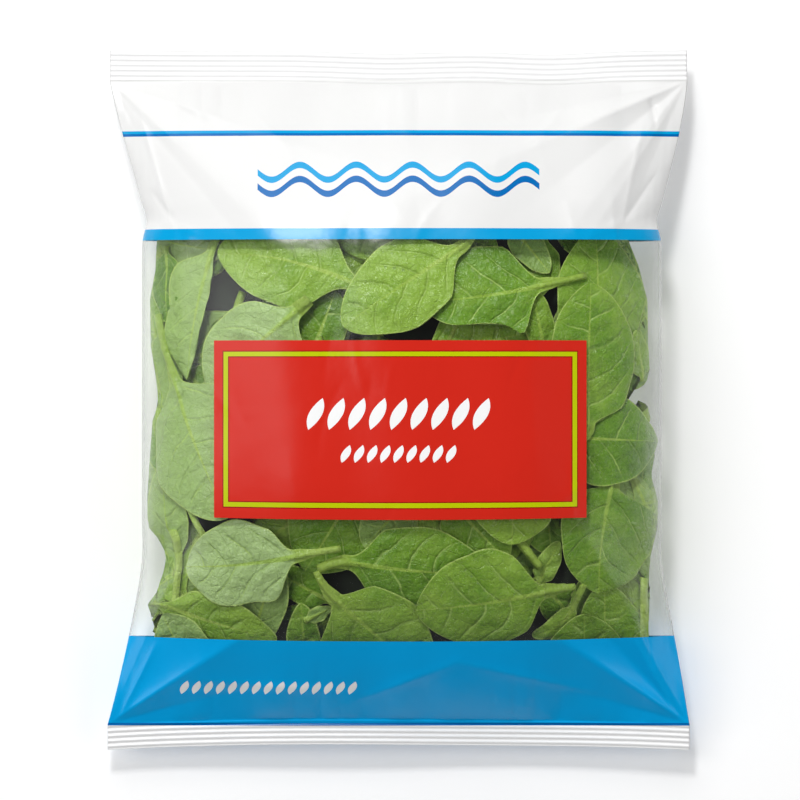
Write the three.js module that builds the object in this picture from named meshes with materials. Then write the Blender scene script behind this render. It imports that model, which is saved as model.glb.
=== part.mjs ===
// A sealed pillow bag of baby spinach, lying on its back with the printed face up. It is one closed body.
// The real bag is a tube of thin clear film, pressed flat and heat sealed across both ends with ribbed jaws,
// and swollen between them by the leaves and the air that it holds. Both seals keep the full flat width,
// the filled body pulls the sides in, and creases run from the corners of the seals into the body.
// Millimetres. +X to the right of the printed face, +Y to the top seal, +Z out of the face. The origin is
// under the middle of the bag, on the surface that it lies on.
import * as THREE from 'three';

// Driving dimensions
const TOP_WIDTH = 231.5;
const BOTTOM_WIDTH = 233.5;
const TOTAL_HEIGHT = 281;
const TOP_SEAL = 12.4;
const BOTTOM_SEAL = 10.2;
const BODY_WIDTH = 207.5;
const BODY_SHIFT = 1.3;
const CROWN = 60;
const SIDE_EDGE_HEIGHT = 25;
const SEAL_HEIGHT = 13;
const SEAL_THICKNESS = 0.6;
const RIB_PITCH = 2.06;
const RIB_HEIGHT = 0.35;

// How finely the two sheets are divided
const COLUMNS = 48;
const BODY_ROWS = 34;

const HALF_HEIGHT = TOTAL_HEIGHT / 2;
const FRONT = 1;
const BACK = -1;
const LEFT = -1;
const RIGHT = 1;

// Each end: half the seal's width, the height of its inner line, how far the sides take to pull in and how
// quickly, and how deep and how wide the pinch is where they stop.
const TOP = {
  out: 1,
  half: TOP_WIDTH / 2,
  line: HALF_HEIGHT - TOP_SEAL,
  taper: 48.5,
  power: 1.25,
  pinch: 1.9,
  pinchWidth: 5.5,
};
const BOTTOM = {
  out: -1,
  half: BOTTOM_WIDTH / 2,
  line: HALF_HEIGHT - BOTTOM_SEAL,
  taper: 62,
  power: 0.95,
  pinch: 0.4,
  pinchWidth: 9,
};

// Creases that fan out of the corners of the seals: degrees from the seal's line, ridge height.
const CREASES = [
  { end: TOP, side: LEFT, angle: 19, height: 2.4 },
  { end: TOP, side: LEFT, angle: 50, height: -1.8 },
  { end: TOP, side: RIGHT, angle: 23, height: 2.0 },
  { end: TOP, side: RIGHT, angle: 58, height: 2.2 },
  { end: BOTTOM, side: LEFT, angle: 33, height: 2.2 },
  { end: BOTTOM, side: LEFT, angle: 66, height: 2.4 },
  { end: BOTTOM, side: RIGHT, angle: 33, height: 2.2 },
  { end: BOTTOM, side: RIGHT, angle: 61, height: 2.4 },
];

const bump = (x, centre, width) => Math.exp(-(((x - centre) / width) ** 2));

// 0 at or below zero and x above it, with a rounded corner.
const softRamp = (x) => (x + Math.hypot(x, 0.12)) / 2;

const smoothstep = (low, high, x) => THREE.MathUtils.smoothstep(x, low, high);

// How far y lies inside the body from an end's seal line, never under zero.
const inside = (end, y) => Math.max(0, end.line - end.out * y);

// Half the width seen from the front: full at the seals, pulled in by the swollen body.
function halfWidth(y) {
  const pulled = [TOP, BOTTOM].map((end) => {
    const run = inside(end, y) / end.taper;
    const open = Math.min(1, softRamp(1 - run ** end.power));
    const pinch = end.pinch * bump(inside(end, y), end.taper + 8, end.pinchWidth);
    return open * (end.half - BODY_WIDTH / 2) - pinch;
  });
  return BODY_WIDTH / 2 + pulled[0] + pulled[1];
}

// 0 at both seals and 1 in the filled middle, reached over a run of the given length.
function swell(y, run, power) {
  const rise = (end) => 1 - (1 - Math.min(1, inside(end, y) / run)) ** power;
  return rise(TOP) * rise(BOTTOM);
}

// The middle of the width: the filled body sits a little to the right of the seals.
const middleX = (y) => BODY_SHIFT * swell(y, 45, 2);

// 1 where the sides are still a sharp fold, near the seals, and 0 where they have opened out round.
function foldedEdge(y) {
  return 1 - smoothstep(8, 66, Math.min(inside(TOP, y), inside(BOTTOM, y)));
}

// The seals are not quite straight: how far each is drawn into the bag at x.
function drawnIn(end, x) {
  const toCorner = 1 - (x / end.half) ** 4;
  return end === TOP
    ? toCorner * (0.3 + 1.1 * bump(x, -4, 26) + 1.5 * bump(x, 62, 24))
    : toCorner * (1.6 + 0.7 * bump(x, -30, 60));
}

// Puckers that start at a seal and die out in the body, because the seal can't pull in with the sides.
function puckers(end, x, d) {
  const fine = Math.cos(x / 4.1 + 0.9 * Math.sin(x / 17)) + 0.6 * Math.sin(x / 6.7 + 2);
  const broad = Math.sin(x / 13 + end.out) + 0.7 * Math.cos(x / 21 - 1);
  const rise = (reach) => (d / reach) * Math.exp(1 - d / reach);
  return 0.45 * fine * rise(8) + 0.8 * broad * rise(22);
}

// One crease: a ridge along a ray out of a seal's corner, highest a third of the way along.
function crease({ end, side, angle, height }, x, d) {
  const across = end.half - side * x;
  const r = Math.hypot(across, d);
  const off = Math.atan2(d, across) - THREE.MathUtils.degToRad(angle);
  const along = (r / 30) * Math.exp(1 - r / 30);
  return height * along * Math.exp(-Math.abs(off) / 0.16);
}

// All relief of the swollen film, none of it at the seals or on the side folds.
function relief(x, y, u) {
  const folds = [TOP, BOTTOM].map((end) => puckers(end, x, inside(end, y)));
  const rays = CREASES.map((c) => crease(c, x, inside(c.end, y)));
  const waves = 0.5 * Math.cos(x / 7.3 + y / 60) * swell(y, 80, 2);
  return (folds[0] + folds[1] + waves + rays.reduce((a, b) => a + b, 0)) * (1 - u ** 6);
}

// The middle plane at (x, y): the ribbed, slightly drooping seals, and the side folds between them.
function middleHeight(x, y) {
  const rise = (SIDE_EDGE_HEIGHT - SEAL_HEIGHT) * swell(y, 95, 2.2);
  const beyond = [TOP, BOTTOM].map((end) => Math.max(0, end.out * y - end.line));
  const outside = beyond[0] + beyond[1];
  const rib = RIB_HEIGHT * Math.sin((2 * Math.PI * outside) / RIB_PITCH);
  const sway = 0.9 * Math.cos(x / 24 + 1) * (1 - swell(y, 40, 2));
  return SEAL_HEIGHT + rise + rib + sway - 0.16 * outside;
}

// A point of one sheet. s runs from -1 at the left side fold to 1 at the right one.
function sheetPoint(sheet, s, y) {
  const u = THREE.MathUtils.lerp(s, Math.sin((s * Math.PI) / 2), 0.65);
  const x = middleX(y) + halfWidth(y) * u;
  const middle = middleHeight(x, y);
  const edge = Math.abs(s) === 1 ? 0 : SEAL_THICKNESS / 2;
  const roundness = 0.5 + 0.45 * foldedEdge(y);
  let z;
  if (sheet === FRONT) {
    const rise = (CROWN - SIDE_EDGE_HEIGHT) * swell(y, 118, 2.7);
    z = middle + edge + rise * (1 - Math.abs(u) ** 2.3) ** roundness + relief(x, y, u);
  } else {
    const fall = (SIDE_EDGE_HEIGHT + 5) * swell(y, 62, 2);
    z = middle - edge - fall * (1 - Math.abs(u) ** 3) ** roundness - 0.5 * relief(x, y, u);
  }
  const ends = [TOP, BOTTOM].map((end) => -end.out * drawnIn(end, x) * Math.exp(-inside(end, y) / 20));
  const nearer = y > 0 ? ends[0] : ends[1];
  return [x, y + nearer, Math.max(0, z)];
}

// The heights of the rows: one at each crest and hollow of the ribs, and closer near the seals in the body.
function rowHeights() {
  const step = RIB_PITCH / 4;
  const seal = (end, width) => {
    const ys = [];
    for (let d = step; d < width - step / 2; d += 2 * step) ys.push(end.out * (end.line + d));
    return [...ys, end.out * HALF_HEIGHT];
  };
  const body = Array.from({ length: BODY_ROWS + 1 }, (_, i) => {
    const t = (2 * i) / BODY_ROWS - 1;
    const spread = THREE.MathUtils.lerp(t, Math.sin((t * Math.PI) / 2), 0.55);
    return THREE.MathUtils.mapLinear(spread, -1, 1, -BOTTOM.line, TOP.line);
  });
  return [...seal(BOTTOM, BOTTOM_SEAL).reverse(), ...body, ...seal(TOP, TOP_SEAL)];
}

// Both sheets as one closed surface. They share the side folds, and short walls close the seals' free edges.
function bagGeometry() {
  const ys = rowHeights();
  const positions = [];
  const index = new Map();
  const vertex = (sheet, column, row) => {
    const shared = column === 0 || column === COLUMNS;
    const key = `${shared ? 0 : sheet},${column},${row}`;
    if (!index.has(key)) {
      index.set(key, positions.length / 3);
      positions.push(...sheetPoint(sheet, (2 * column) / COLUMNS - 1, ys[row]));
    }
    return index.get(key);
  };
  const triangles = [];
  const addTriangle = (a, b, c) => {
    if (a !== b && b !== c && a !== c) triangles.push(a, b, c);
  };
  const addQuad = (a, b, c, d) => {
    addTriangle(a, b, c);
    addTriangle(a, c, d);
  };
  const last = ys.length - 1;
  for (let c = 0; c < COLUMNS; c++) {
    for (let r = 0; r < last; r++) {
      const corners = (sheet) =>
        [[c, r], [c + 1, r], [c + 1, r + 1], [c, r + 1]].map(([i, j]) => vertex(sheet, i, j));
      addQuad(...corners(FRONT));
      addQuad(...corners(BACK).reverse());
    }
    addQuad(vertex(FRONT, c, last), vertex(FRONT, c + 1, last), vertex(BACK, c + 1, last), vertex(BACK, c, last));
    addQuad(vertex(BACK, c, 0), vertex(BACK, c + 1, 0), vertex(FRONT, c + 1, 0), vertex(FRONT, c, 0));
  }
  const geometry = new THREE.BufferGeometry();
  geometry.setAttribute('position', new THREE.Float32BufferAttribute(positions, 3));
  geometry.setIndex(triangles);
  geometry.computeVertexNormals();
  return geometry;
}

const film = new THREE.MeshStandardMaterial({ color: 0xdfe6e2, roughness: 0.28, metalness: 0 });
const bag = new THREE.Mesh(bagGeometry(), film);
bag.name = 'bag';

const spinachBag = new THREE.Group();
spinachBag.add(bag);
export default spinachBag;
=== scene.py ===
import math

import bpy
import numpy as np
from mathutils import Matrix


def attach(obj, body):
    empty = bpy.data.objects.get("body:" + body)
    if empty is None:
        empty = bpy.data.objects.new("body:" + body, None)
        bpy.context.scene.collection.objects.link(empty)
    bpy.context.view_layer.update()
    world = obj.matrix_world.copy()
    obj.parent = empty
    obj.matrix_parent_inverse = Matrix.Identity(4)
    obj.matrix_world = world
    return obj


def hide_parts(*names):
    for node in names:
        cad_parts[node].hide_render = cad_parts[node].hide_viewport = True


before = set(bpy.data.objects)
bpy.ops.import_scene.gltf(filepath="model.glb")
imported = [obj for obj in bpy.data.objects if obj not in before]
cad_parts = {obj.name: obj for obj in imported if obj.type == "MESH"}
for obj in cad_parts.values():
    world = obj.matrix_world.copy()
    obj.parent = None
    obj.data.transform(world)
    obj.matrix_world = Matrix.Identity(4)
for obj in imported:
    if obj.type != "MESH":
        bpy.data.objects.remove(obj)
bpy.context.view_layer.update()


# The film tube. Thin clear film, laid flat, heat sealed across both ends and swollen by what it holds.
# The seals keep the full flat width, the filled body pulls the sides in, and creases fan out of the
# corners of the seals. One closed skin, in the place of the solid bag.
TOP_WIDTH = 231.5
BOTTOM_WIDTH = 233.5
TOTAL_HEIGHT = 281.0
TOP_SEAL = 12.4
BOTTOM_SEAL = 10.2
BODY_WIDTH = 207.5
BODY_SHIFT = 1.3
CROWN = 60.0
SIDE_EDGE_HEIGHT = 25.0
SEAL_HEIGHT = 13.0
RIB_PITCH = 2.06
RIB_HEIGHT = 0.22
FILM_GAP = 0.12
REST_HEIGHT = 0.4
BODY_ROWS = 205
FRONT_COLUMNS = 232
CREASE_SEED = 11
HALF_HEIGHT = TOTAL_HEIGHT / 2
TOP_LINE = HALF_HEIGHT - TOP_SEAL
BOTTOM_LINE = HALF_HEIGHT - BOTTOM_SEAL


def smoothstep(low, high, x):
    """0 below low, 1 above high, and 3tt - 2ttt between them."""
    t = np.clip((x - low) / (high - low), 0, 1)
    return t * t * (3 - 2 * t)


def bump(x, centre, width):
    """A bell: e to the power of minus the squared distance from centre over width."""
    return np.exp(-(((x - centre) / width) ** 2))


def rise_and_fade(d, peak):
    """0 at 0, 1 at the peak and dying away past it: d over peak, times e to the power of one less that."""
    return (d / peak) * np.exp(1 - d / peak)


def below_top(y):
    """How far y lies inside the body from the top seal, never under zero."""
    return np.maximum(0, TOP_LINE - y)


def above_bottom(y):
    """How far y lies inside the body from the bottom seal, never under zero."""
    return np.maximum(0, BOTTOM_LINE + y)


def half_width(y):
    """Half the width: full at the seals, falling as one less a power of the run, with a pinch where it stops."""
    width = np.full_like(y, BODY_WIDTH / 2)
    for d, flat, taper, power, pinch, pinch_width in (
            (below_top(y), TOP_WIDTH, 48.5, 1.25, 1.9, 5.5), (above_bottom(y), BOTTOM_WIDTH, 62, 0.95, 0.4, 9)):
        opened = 1 - (d / taper) ** power
        opened = np.minimum(1, (opened + np.hypot(opened, 0.12)) / 2)
        width += opened * (flat - BODY_WIDTH) / 2 - pinch * bump(d, taper + 8, pinch_width)
    return width


def swell(y, run, power):
    """0 at both seals and 1 in the middle: one minus a power of what is left of the run, at both ends."""
    top = 1 - (1 - np.minimum(1, below_top(y) / run)) ** power
    bottom = 1 - (1 - np.minimum(1, above_bottom(y) / run)) ** power
    return top * bottom


def middle_x(y):
    """The middle of the width: the filled body sits a little to the right of the seals."""
    return BODY_SHIFT * swell(y, 45, 2)


def folded_edge(y):
    """1 near the seals, where the sides are a sharp fold, and 0 where they have opened out round."""
    return 1 - smoothstep(8, 66, np.minimum(below_top(y), above_bottom(y)))


def corner_crease(x, d, flat, side, angle, height):
    """A sharp ridge on a ray out of a seal's corner, rising and dying away along the ray."""
    across = flat / 2 - side * x
    r = np.hypot(across, d)
    off = np.arctan2(d, across) - math.radians(angle)
    return height * rise_and_fade(r, 30) * np.exp(-np.abs(off) / 0.16)


def broad_relief(x, y, u):
    """Puckers along both seals, creases out of their corners and slow upright waves, none on the side folds."""
    total = 0.5 * np.cos(x / 7.3 + y / 60) * swell(y, 80, 2)
    for out, inside in ((1, below_top(y)), (-1, above_bottom(y))):
        fine = np.cos(x / 4.1 + 0.9 * np.sin(x / 17)) + 0.6 * np.sin(x / 6.7 + 2)
        broad = np.sin(x / 13 + out) + 0.7 * np.cos(x / 21 - 1)
        total = total + 0.45 * fine * rise_and_fade(inside, 8) + 0.8 * broad * rise_and_fade(inside, 22)
    for side, angle, height in ((-1, 19, 2.4), (-1, 50, -1.8), (1, 23, 2.0), (1, 58, 2.2)):
        total = total + corner_crease(x, below_top(y), TOP_WIDTH, side, angle, height)
    for side, angle, height in ((-1, 33, 2.2), (-1, 66, 2.4), (1, 33, 2.2), (1, 61, 2.4)):
        total = total + corner_crease(x, above_bottom(y), BOTTOM_WIDTH, side, angle, height)
    return total * (1 - u ** 6)


def middle_height(x, y):
    """The plane between the sheets: ribbed, drooping seals, and the side folds between them."""
    outside = np.maximum(0, y - TOP_LINE) + np.maximum(0, -y - BOTTOM_LINE)
    rib = RIB_HEIGHT * np.sin(2 * np.pi * outside / RIB_PITCH)
    sway = 0.9 * np.cos(x / 24 + 1) * (1 - swell(y, 40, 2))
    rise = (SIDE_EDGE_HEIGHT - SEAL_HEIGHT) * swell(y, 95, 2.2)
    return SEAL_HEIGHT + rise + rib + sway - 0.16 * outside


def drawn_in(x, y):
    """How far a point moves along the bag, because the seals are a little wavy. It dies out inside."""
    top = 0.3 + 1.1 * bump(x, -4, 26) + 1.5 * bump(x, 62, 24)
    top = top * (1 - np.minimum(1, np.abs(x) * 2 / TOP_WIDTH) ** 4)
    bottom = (1.6 + 0.7 * bump(x, -30, 60)) * (1 - np.minimum(1, np.abs(x) * 2 / BOTTOM_WIDTH) ** 4)
    return np.where(y > 0, -top * np.exp(-below_top(y) / 20), bottom * np.exp(-above_bottom(y) / 20))


def front_profile(u, y):
    """The crown of the front over the middle plane: a super-ellipse across, swelling along."""
    rise = (CROWN - SIDE_EDGE_HEIGHT) * swell(y, 118, 2.7)
    return rise * np.maximum(0, 1 - np.abs(u) ** 2.3) ** (0.5 + 0.45 * folded_edge(y))


def back_profile(u, y):
    """How far the back hangs under the middle plane: a flatter super-ellipse across, quickly full along."""
    fall = (SIDE_EDGE_HEIGHT + 5) * swell(y, 62, 2)
    return fall * np.maximum(0, 1 - np.abs(u) ** 3) ** (0.5 + 0.45 * folded_edge(y))


def corner_folds(x, d, flat, side, angles, heights):
    """Flat facets out of a seal's corner: heights at angles from its line, rising and dying away on the rays."""
    across = np.maximum(0, flat / 2 - side * x)
    r = np.hypot(across, d)
    angle = np.degrees(np.arctan2(d, across + 1e-6))
    return np.interp(angle, angles, heights) * rise_and_fade(r, 26)


def small_creases(x, y, rng, count, height):
    """Short sharp ridges at seeded places: each a bell along its length and a pointed ridge across it."""
    total = np.zeros_like(x)
    for _ in range(count):
        cx, cy = rng.uniform(-95, 95), rng.uniform(-112, 112)
        turn = rng.normal(math.pi / 2, 0.5)
        length, width = rng.uniform(5, 16), rng.uniform(0.9, 2.2)
        along = (x - cx) * math.cos(turn) + (y - cy) * math.sin(turn)
        across = -(x - cx) * math.sin(turn) + (y - cy) * math.cos(turn) + 0.01 * along ** 2
        total += height * rng.uniform(-1, 1) * np.exp(-((along / length) ** 2) - np.abs(across) / width)
    return total


def crease_line(x, y, start, end, height, width):
    """A pointed ridge along the line from start to end, highest in its middle."""
    dx, dy = end[0] - start[0], end[1] - start[1]
    length = math.hypot(dx, dy)
    along = ((x - start[0]) * dx + (y - start[1]) * dy) / length ** 2
    across = (-(x - start[0]) * dy + (y - start[1]) * dx) / length
    envelope = np.sin(np.pi * np.clip(along, 0, 1)) ** 0.7
    return height * envelope * np.exp(-np.abs(across) / width)


def film_relief(x, y, u):
    """The broad relief with finer wrinkles: puckers at the seals, facets in the corners, streaks, creases."""
    total = broad_relief(x, y, u)
    for inside, phase in ((below_top(y), 0.4), (above_bottom(y), 2.1)):
        strength = 0.5 + 0.5 * np.sin(x / 9.7 + phase) * np.sin(x / 23 + 3 * phase)
        ripple = np.abs(np.sin(x / 3.7 + 1.3 * np.sin(x / 11 + phase))) ** 0.6 - 0.6
        total = total + 1.1 * strength * ripple * rise_and_fade(inside, 6) * (1 - u ** 4)
    for out, side, angles, heights in CORNER_FOLDS:
        inside, flat = (below_top(y), TOP_WIDTH) if out > 0 else (above_bottom(y), BOTTOM_WIDTH)
        total = total + corner_folds(x, inside, flat, side, angles, heights) * (1 - u ** 10)
    streak = np.cos(np.abs(x) / 0.62 + 0.5 * np.sin(y / 21)) * smoothstep(0.93, 0.97, np.abs(u))
    total = total + 0.10 * streak * (1 - np.abs(u) ** 40) * swell(y, 60, 2)
    for line in FILM_CREASES:
        total = total + crease_line(x, y, *line)
    creases = small_creases(x, y, np.random.default_rng(CREASE_SEED), count=70, height=0.28)
    return total + creases * (1 - u ** 8)


# The facets in the corners: top or bottom, left or right, angles from the seal's line, heights in millimetres.
CORNER_FOLDS = (
    (1, -1, (0, 18, 44, 62, 80), (0, -1.4, 1.2, -0.8, 0)),
    (1, 1, (0, 12, 23, 38, 52, 66, 82), (0, -0.8, 1.4, -0.6, 1.3, -0.9, 0)),
    (-1, -1, (0, 14, 33, 65, 80), (0, -0.6, 2.2, -0.8, 0)),
    (-1, 1, (0, 16, 34, 47, 60, 80), (0, -0.6, 2.0, -0.6, 1.2, 0)),
)

# Creases seen on the front: start, end, height and sharpness, all in millimetres.
FILM_CREASES = (
    ((-104, 116), (-88, 62), 1.0, 1.6),
    ((-99, 84), (-84, 64), -1.3, 1.8),
    ((-94, 72), (-78, 64), 0.9, 1.4),
    ((101, 122), (103, 108), -1.2, 1.2),
    ((98, 112), (88, 66), 1.0, 1.8),
    ((104, 92), (86, 66), -1.0, 1.6),
    ((100, 75), (78, 66), 0.7, 1.2),
    ((84, 84), (88, 54), 0.9, 2.4),
    ((66, 80), (72, 62), 0.6, 3.0),
    ((-60, 118), (-40, 96), 0.9, 3.0),
    ((40, 116), (52, 104), -1.1, 2.4),
    ((66, 118), (54, 102), 0.9, 2.4),
    ((-30, 120), (10, 106), 0.8, 3.0),
    ((-96, 122), (-70, 106), -0.8, 2.6),
    ((-44, -20), (-40, -46), 0.25, 5.0),
    ((52, 20), (55, -44), 0.3, 4.0),
    ((68, -20), (70, -46), 0.45, 1.6),
    ((60, -44), (76, -30), 0.3, 1.4),
    ((-18, -122), (26, -104), 1.3, 3.2),
    ((20, -104), (80, -118), 1.3, 3.2),
    ((-84, -112), (-24, -118), 1.0, 3.0),
    ((92, -92), (112, -128), 0.9, 1.8),
    ((-96, -96), (-112, -128), 0.9, 1.8),
    ((96, -80), (102, -108), -0.7, 1.6),
)


def film_point(front, u, y):
    """x, y and z of one sheet, in millimetres: middle plane, half the gap, profile and relief. The back is
    rounded off to the rest height, where it lies on the floor."""
    x = middle_x(y) + half_width(y) * u
    edge = np.where(np.abs(u) >= 1, 0, FILM_GAP / 2)
    if front:
        z = middle_height(x, y) + edge + front_profile(u, y) + film_relief(x, y, u)
    else:
        z = middle_height(x, y) - edge - back_profile(u, y) - 0.5 * broad_relief(x, y, u)
        z = REST_HEIGHT + (z - REST_HEIGHT + np.hypot(z - REST_HEIGHT, 0.5)) / 2
    return np.stack([x, y + drawn_in(x, y), z], axis=-1)


def new_mesh(name, points, faces):
    """A mesh from an array of points and a list of face arrays, one array for each number of corners."""
    mesh = bpy.data.meshes.new(name)
    corners = np.concatenate([f.ravel() for f in faces])
    counts = np.concatenate([np.full(len(f), f.shape[1]) for f in faces])
    starts = np.concatenate([[0], np.cumsum(counts)[:-1]])
    mesh.vertices.add(len(points))
    mesh.vertices.foreach_set("co", (np.asarray(points) * 0.001).ravel())
    mesh.loops.add(len(corners))
    mesh.loops.foreach_set("vertex_index", corners.astype(np.int32))
    mesh.polygons.add(len(counts))
    mesh.polygons.foreach_set("loop_start", starts.astype(np.int32))
    mesh.update(calc_edges=True)
    mesh.validate()
    mesh.shade_smooth()
    return mesh


def new_object(name, data):
    """An object that holds a mesh, a light or a camera, put into the scene at the origin."""
    made = bpy.data.objects.new(name, data)
    bpy.context.scene.collection.objects.link(made)
    return made


def new_piece(name, mesh, material):
    """An object at the origin that rides on the bag, with its finish and material slot."""
    piece = new_object(name, mesh)
    mesh.materials.append(material)
    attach(piece, "root")
    return piece


def grid_faces(index):
    """Quads between neighbouring rows and columns of an array of vertex numbers."""
    low, high = index[..., :-1, :], index[..., 1:, :]
    return np.stack([low[..., :-1], low[..., 1:], high[..., 1:], high[..., :-1]], -1).reshape(-1, 4)


def end_faces(front_row, back_row, turned):
    """Triangles that close a seal's free edge: two columns of the front meet one of the back."""
    left, middle, right = front_row[:-2:2], front_row[1::2], front_row[2::2]
    low, high = back_row[:-1], back_row[1:]
    faces = np.concatenate([
        np.stack(three, -1) for three in ((middle, low, left), (middle, high, low), (middle, right, high))])
    whole = (faces[:, 0] != faces[:, 1]) & (faces[:, 1] != faces[:, 2]) & (faces[:, 0] != faces[:, 2])
    return faces[whole][:, ::-1] if turned else faces[whole]


def film_rows():
    """Row heights: a seventh of a rib apart in the seals, and closer near the seals in the body."""
    step = RIB_PITCH / 7
    t = np.linspace(-1, 1, BODY_ROWS)
    body = 0.5 * t + 0.5 * np.sin(t * np.pi / 2)
    body = (TOP_LINE - BOTTOM_LINE) / 2 + body * (TOP_LINE + BOTTOM_LINE) / 2
    top = np.linspace(TOP_LINE, HALF_HEIGHT, round(TOP_SEAL / step) + 1)[1:]
    bottom = np.linspace(-HALF_HEIGHT, -BOTTOM_LINE, round(BOTTOM_SEAL / step) + 1)[:-1]
    return np.concatenate([bottom, body, top])


def film_mesh(columns):
    """Both sheets as one closed skin, the back with half the columns. They share the side folds."""
    y = film_rows()

    def sheet(front, count):
        """One sheet's points, its columns closer near the side folds, as a sine bunches them."""
        s = np.linspace(-1, 1, count + 1)
        return film_point(front, *np.meshgrid(0.35 * s + 0.65 * np.sin(s * np.pi / 2), y))

    front, back = sheet(True, columns), sheet(False, columns // 2)[:, 1:-1]
    front_index = np.arange(front[..., 0].size).reshape(front.shape[:2])
    inner = front_index.size + np.arange(back[..., 0].size).reshape(back.shape[:2])
    back_index = np.concatenate([front_index[:, :1], inner, front_index[:, -1:]], axis=1)
    ends = [end_faces(front_index[row], back_index[row], row == 0) for row in (-1, 0)]
    faces = [grid_faces(front_index), grid_faces(back_index)[:, ::-1], np.concatenate(ends)]
    points = np.concatenate([front.reshape(-1, 3), back.reshape(-1, 3)])
    sheet_of = np.concatenate([np.ones(front_index.size), np.zeros(inner.size)])
    sheet_of[front_index[:, [0, -1]].ravel()] = 0.5
    return new_mesh("film", points, faces), points, sheet_of


def set_uv(mesh, name, values):
    """A UV map from one pair of numbers for each vertex."""
    corners = np.empty(len(mesh.loops), np.int32)
    mesh.loops.foreach_get("vertex_index", corners)
    mesh.uv_layers.new(name=name).data.foreach_set("uv", values[corners].astype(np.float32).ravel())


def set_values(mesh, name, values):
    """One number for each vertex, which materials read by name."""
    layer = mesh.attributes.new(name, "FLOAT", "POINT")
    layer.data.foreach_set("value", np.asarray(values, np.float32).ravel())


def print_place(points):
    """Where each point of the film lies on the flat print, in metres: its x and y with the edges' bows."""
    x, y = points[:, 0], points[:, 1]
    low_bow = 1.6 * (1 - (x / 106) ** 2) * bump(y, -97, 13)
    label_bow = 0.8 * (1 - (x / 74) ** 2) * bump(y, -47, 8)
    return np.stack([x, y + low_bow + label_bow], -1) * 0.001


def linear(red, green, blue):
    """A colour given from 0 to 255 as seen on a screen, turned into light."""
    values = np.array([red, green, blue]) / 255
    return tuple(np.where(values <= 0.04045, values / 12.92, ((values + 0.055) / 1.055) ** 2.4)) + (1.0,)


def new_finish(name):
    """A material, and its tree with no nodes yet."""
    material = bpy.data.materials.new(name)
    material.use_nodes = True
    material.node_tree.nodes.clear()
    return material, material.node_tree


def add_node(tree, kind, sockets=(), **settings):
    """A shader node with its settings made, and each socket linked to an output or given a plain value."""
    node = tree.nodes.new("ShaderNode" + kind)
    for name, value in settings.items():
        setattr(node, name, value)
    for name in sockets:
        if isinstance(sockets[name], bpy.types.NodeSocket):
            tree.links.new(sockets[name], node.inputs[name])
        else:
            node.inputs[name].default_value = sockets[name]
    return node


def own_place(tree):
    """The point on the piece itself, in metres."""
    return add_node(tree, "TexCoord").outputs["Object"]


def noise(place, scale, detail, roughness=0.5):
    """A Noise texture's value at a place."""
    sockets = {"Vector": place, "Scale": scale, "Detail": detail, "Roughness": roughness}
    return add_node(place.id_data, "TexNoise", sockets).outputs["Fac"]


def calc(operation, *values):
    """A Math node of one operation on up to three values, the first of them another node's."""
    return add_node(values[0].id_data, "Math", dict(enumerate(values)), operation=operation).outputs[0]


def times(first, second):
    """first times second."""
    return calc("MULTIPLY", first, second)


def plus(first, factor, second):
    """first times factor, plus second."""
    return calc("MULTIPLY_ADD", first, factor, second)


def rescale(value, low, high, new_low=0.0, new_high=1.0, smooth=False):
    """A Map Range node, linear or smooth, held within its new range."""
    sockets = {"Value": value, "From Min": low, "From Max": high, "To Min": new_low, "To Max": new_high}
    kind = "SMOOTHSTEP" if smooth else "LINEAR"
    return add_node(value.id_data, "MapRange", sockets, interpolation_type=kind).outputs[0]


def blend(factor, first, second):
    """A colour Mix node."""
    return add_node(factor.id_data, "Mix", {0: factor, 6: first, 7: second}, data_type="RGBA").outputs[2]


def relief(height, strength, distance):
    """A Bump node's normal."""
    sockets = {"Height": height, "Strength": strength, "Distance": distance}
    return add_node(height.id_data, "Bump", sockets).outputs[0]


def shader(tree, kind, sockets):
    """One shader: Principled, Transparent, Diffuse or Glossy."""
    return add_node(tree, "Bsdf" + kind, sockets).outputs[0]


def layered(factor, under, over):
    """Two shaders mixed: the first at 0 and the second at 1."""
    return add_node(factor.id_data, "MixShader", {0: factor, 1: under, 2: over}).outputs[0]


def finished(material, surface):
    """The material with this shader as its surface."""
    add_node(surface.id_data, "OutputMaterial", {"Surface": surface})
    return material


def steps(value, low, high, stops):
    """A ramp of hard steps over low to high. A stop is the value where its colour begins, and the colour."""
    node = add_node(value.id_data, "ValToRGB", {0: rescale(value, low, high)})
    ramp = node.color_ramp
    ramp.interpolation = "CONSTANT"
    while len(ramp.elements) < len(stops):
        ramp.elements.new(0.5)
    for element, (start, colour) in zip(ramp.elements, stops):
        element.position = max(0.0, (start - low) / (high - low))
        element.color = colour
    return node.outputs[0]


def reach(value, centre, half):
    """How far a value lies outside a band about its centre: below zero inside it."""
    offset = calc("ABSOLUTE", calc("SUBTRACT", value, centre))
    return calc("SUBTRACT", offset, half)


def lens_row(u, v, centre, length, height, pitch):
    """A row of plain slanted lens shapes: 1 inside them. Each is a parabola on both sides of its axis."""
    v = calc("SUBTRACT", v, centre[1])
    u = calc("SUBTRACT", u, centre[0])
    sheared = plus(v, -LENS_SLANT, u)
    in_row = calc("LESS_THAN", calc("ABSOLUTE", sheared), length / 2)
    cell = calc("WRAP", sheared, pitch / 2, -pitch / 2)
    up = calc("POWER", calc("ABSOLUTE", calc("DIVIDE", v, height / 2)), 2.0)
    side = plus(up, -pitch * LENS_HALF, pitch * LENS_HALF)
    inside = calc("LESS_THAN", calc("ABSOLUTE", cell), side)
    return times(inside, in_row)


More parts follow.
